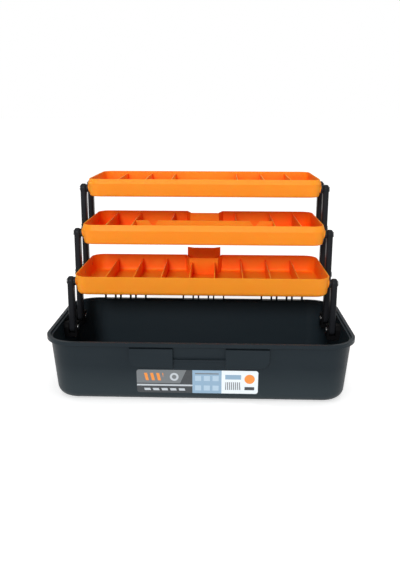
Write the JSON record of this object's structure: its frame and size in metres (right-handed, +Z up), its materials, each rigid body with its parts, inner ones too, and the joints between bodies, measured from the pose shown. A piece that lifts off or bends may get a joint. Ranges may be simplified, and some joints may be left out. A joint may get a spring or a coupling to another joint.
{
  "type": "cantilever tool box",
  "caption": "Open cantilever tool box: a deep tub with stacked divided trays that swing up and back on parallel side arms, shown without its lid.",
  "frame": {"origin": "middle of the tub's bottom, on the surface that the box stands on", "axes": "+X to the right of the front, +Y to the back, +Z up"},
  "size_m": [0.47, 0.3999, 0.3123],
  "materials": {
    "tub": "fine-grained moulded polypropylene, satin",
    "hinge_lug": "moulded polypropylene, satin",
    "label": "printed film label, satin",
    "bracket": "moulded plastic, satin",
    "arm": "moulded plastic, satin",
    "pin": "turned steel",
    "tray_shell": "moulded polypropylene, satin",
    "tray_dividers": "moulded polypropylene, satin"
  },
  "bodies": {
    "base": {"base_tub": "tub", "front_label": "label", "hinge_lugs_left": "hinge_lug", "hinge_lugs_center": "hinge_lug", "hinge_lugs_right": "hinge_lug", "bracket_left_front": "bracket", "bracket_left_rear": "bracket", "bracket_right_front": "bracket", "bracket_right_rear": "bracket", "base_pins_left": "pin", "base_pins_right": "pin"},
    "front_arms": {"front_arm_left": "arm", "front_arm_right": "arm"},
    "long_lower_arms": {"long_lower_arm_left": "arm", "long_lower_arm_right": "arm"},
    "long_upper_arms": {"long_upper_arm_left": "arm", "long_upper_arm_right": "arm"},
    "rear_arms": {"rear_arm_left": "arm", "rear_arm_right": "arm"},
    "lower_tray": {"lower_tray": "tray_shell", "lower_dividers": "tray_dividers", "lower_pins_left": "pin", "lower_pins_right": "pin"},
    "middle_tray": {"middle_tray": "tray_shell", "middle_dividers": "tray_dividers", "middle_pins_left": "pin", "middle_pins_right": "pin"},
    "upper_tray": {"upper_tray": "tray_shell", "upper_dividers": "tray_dividers", "upper_pins_left": "pin", "upper_pins_right": "pin"}
  },
  "joints": [
    {"name": "long_lower_arm_swing", "type": "hinge", "parent": "base", "child": "long_lower_arms", "pos_m": [0, 0.0576, 0.0815], "axis": [1, 0, 0], "range_deg": [0, 66.3]},
    {"name": "front_arm_swing", "type": "hinge", "parent": "base", "child": "front_arms", "pos_m": [0, -0.0034, 0.0815], "axis": [1, 0, 0], "range_deg": [0, 66.3]},
    {"name": "lower_tray_level", "type": "hinge", "parent": "long_lower_arms", "child": "lower_tray", "pos_m": [0, 0.06098, 0.15893], "axis": [-1, 0, 0], "range_deg": [0, 66.3]},
    {"name": "middle_tray_level", "type": "hinge", "parent": "long_lower_arms", "child": "middle_tray", "pos_m": [0, 0.06395, 0.22686], "axis": [-1, 0, 0], "range_deg": [0, 66.3]},
    {"name": "long_upper_arm_swing", "type": "hinge", "parent": "lower_tray", "child": "long_upper_arms", "pos_m": [0, 0.12198, 0.15893], "axis": [1, 0, 0], "range_deg": [0, 66.3]},
    {"name": "upper_tray_level", "type": "hinge", "parent": "long_upper_arms", "child": "upper_tray", "pos_m": [0, 0.12791, 0.2948], "axis": [-1, 0, 0], "range_deg": [0, 66.3]},
    {"name": "rear_arm_swing", "type": "hinge", "parent": "middle_tray", "child": "rear_arms", "pos_m": [0, 0.18595, 0.22686], "axis": [1, 0, 0], "range_deg": [0, 66.3]}
  ],
  "couplings": [
    {"joint": "front_arm_swing", "follows": "long_lower_arm_swing", "ratio": 1},
    {"joint": "lower_tray_level", "follows": "long_lower_arm_swing", "ratio": 1},
    {"joint": "middle_tray_level", "follows": "long_lower_arm_swing", "ratio": 1},
    {"joint": "long_upper_arm_swing", "follows": "long_lower_arm_swing", "ratio": 1},
    {"joint": "upper_tray_level", "follows": "long_lower_arm_swing", "ratio": 1},
    {"joint": "rear_arm_swing", "follows": "long_lower_arm_swing", "ratio": 1}
  ]
}
